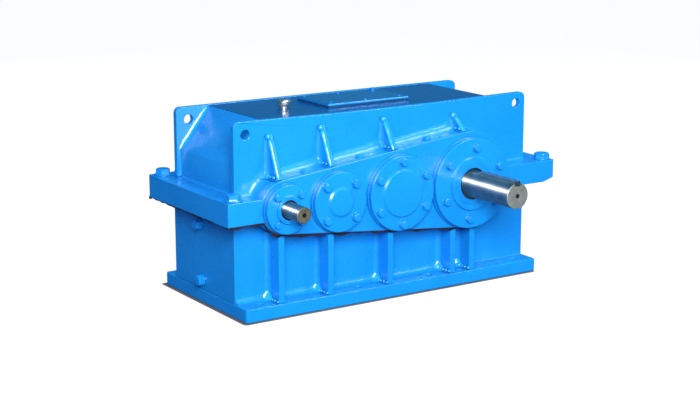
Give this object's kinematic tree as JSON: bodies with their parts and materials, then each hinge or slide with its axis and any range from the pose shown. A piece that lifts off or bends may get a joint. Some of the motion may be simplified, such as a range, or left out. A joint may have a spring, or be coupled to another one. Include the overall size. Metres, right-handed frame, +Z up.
{
  "type": "industrial gearbox",
  "caption": "Parallel-shaft speed reducer in a blue welded split case, with a slim input shaft end, a thick keyed output shaft end, round bearing covers and a bolt-down base",
  "frame": {"origin": "centre of the underside of the base plate", "axes": "+X along the case from the input end to the output end, -Y the front, where both shaft ends come out, +Z up; the shafts turn about axes along Y"},
  "size_m": [0.899, 0.58, 0.4468],
  "materials": {
    "case_paint": "glossy azure enamel sprayed over welded steel plate",
    "cover_paint": "glossy azure enamel over turned covers",
    "fastener_paint": "azure enamel over hexagon heads",
    "shaft_steel": "ground and polished, with fine marks round the shaft",
    "key_steel": "bright drawn key steel with a film of oil",
    "gear_steel": "machined and hardened, oiled",
    "bearing_steel": "ground bearing steel",
    "zinc_plate": "yellow-passivated zinc plate",
    "seal_rubber": "dark brown nitrile rubber, matt",
    "gasket_fibre": "fibre gasket with painted edges"
  },
  "bodies": {
    "housing": {"base_plate": "case_paint", "breather_cap": "zinc_plate", "breather_stem": "zinc_plate", "drain_plug": "fastener_paint", "flange_bolt_back_left": "fastener_paint", "flange_bolt_back_right": "fastener_paint", "flange_bolt_front_left": "fastener_paint", "flange_bolt_front_right": "fastener_paint", "input_back_cover": "cover_paint", "input_back_outer_ring": "bearing_steel", "input_front_cover": "cover_paint", "input_front_outer_ring": "bearing_steel", "input_seal": "seal_rubber", "inspection_cover": "cover_paint", "inspection_gasket": "gasket_fibre", "intermediate_1_back_cover": "cover_paint", "intermediate_1_back_outer_ring": "bearing_steel", "intermediate_1_front_cover": "cover_paint", "intermediate_1_front_outer_ring": "bearing_steel", "intermediate_2_back_cover": "cover_paint", "intermediate_2_back_outer_ring": "bearing_steel", "intermediate_2_front_cover": "cover_paint", "intermediate_2_front_outer_ring": "bearing_steel", "lower_back_flange": "case_paint", "lower_back_wall": "case_paint", "lower_front_flange": "case_paint", "lower_front_wall": "case_paint", "lower_left_end": "case_paint", "lower_right_end": "case_paint", "oil_level_plug": "fastener_paint", "output_back_cover": "cover_paint", "output_back_outer_ring": "bearing_steel", "output_front_cover": "cover_paint", "output_front_outer_ring": "bearing_steel", "output_seal": "seal_rubber", "top_plate": "case_paint", "upper_back_flange": "case_paint", "upper_back_plate": "case_paint", "upper_front_flange": "case_paint", "upper_front_plate": "case_paint", "upper_left_end": "case_paint", "upper_right_end": "case_paint"},
    "input": {"input_back_inner_ring": "bearing_steel", "input_front_inner_ring": "bearing_steel", "input_pinion_shaft": "shaft_steel"},
    "intermediate_1": {"intermediate_1_back_inner_ring": "bearing_steel", "intermediate_1_front_inner_ring": "bearing_steel", "intermediate_1_gear": "gear_steel", "intermediate_1_pinion_shaft": "shaft_steel"},
    "intermediate_2": {"intermediate_2_back_inner_ring": "bearing_steel", "intermediate_2_front_inner_ring": "bearing_steel", "intermediate_2_gear": "gear_steel", "intermediate_2_pinion_shaft": "shaft_steel"},
    "output": {"output_back_inner_ring": "bearing_steel", "output_front_inner_ring": "bearing_steel", "output_gear": "gear_steel", "output_gear_key": "key_steel", "output_shaft": "shaft_steel", "output_shaft_key": "key_steel"}
  },
  "joints": [
    {"name": "input_spin", "type": "hinge", "parent": "housing", "child": "input", "pos_m": [-0.302, 0, 0.243], "axis": [0, 1, 0], "continuous": true},
    {"name": "intermediate_1_spin", "type": "hinge", "parent": "housing", "child": "intermediate_1", "pos_m": [-0.168, 0, 0.243], "axis": [0, 1, 0], "continuous": true},
    {"name": "intermediate_2_spin", "type": "hinge", "parent": "housing", "child": "intermediate_2", "pos_m": [-0.002, 0, 0.243], "axis": [0, 1, 0], "continuous": true},
    {"name": "output_spin", "type": "hinge", "parent": "housing", "child": "output", "pos_m": [0.196, 0, 0.243], "axis": [0, 1, 0], "continuous": true}
  ],
  "couplings": [
    {"joint": "intermediate_2_spin", "follows": "output_spin", "ratio": -2.6429},
    {"joint": "intermediate_1_spin", "follows": "output_spin", "ratio": 7.7398},
    {"joint": "input_spin", "follows": "output_spin", "ratio": -23.735}
  ]
}
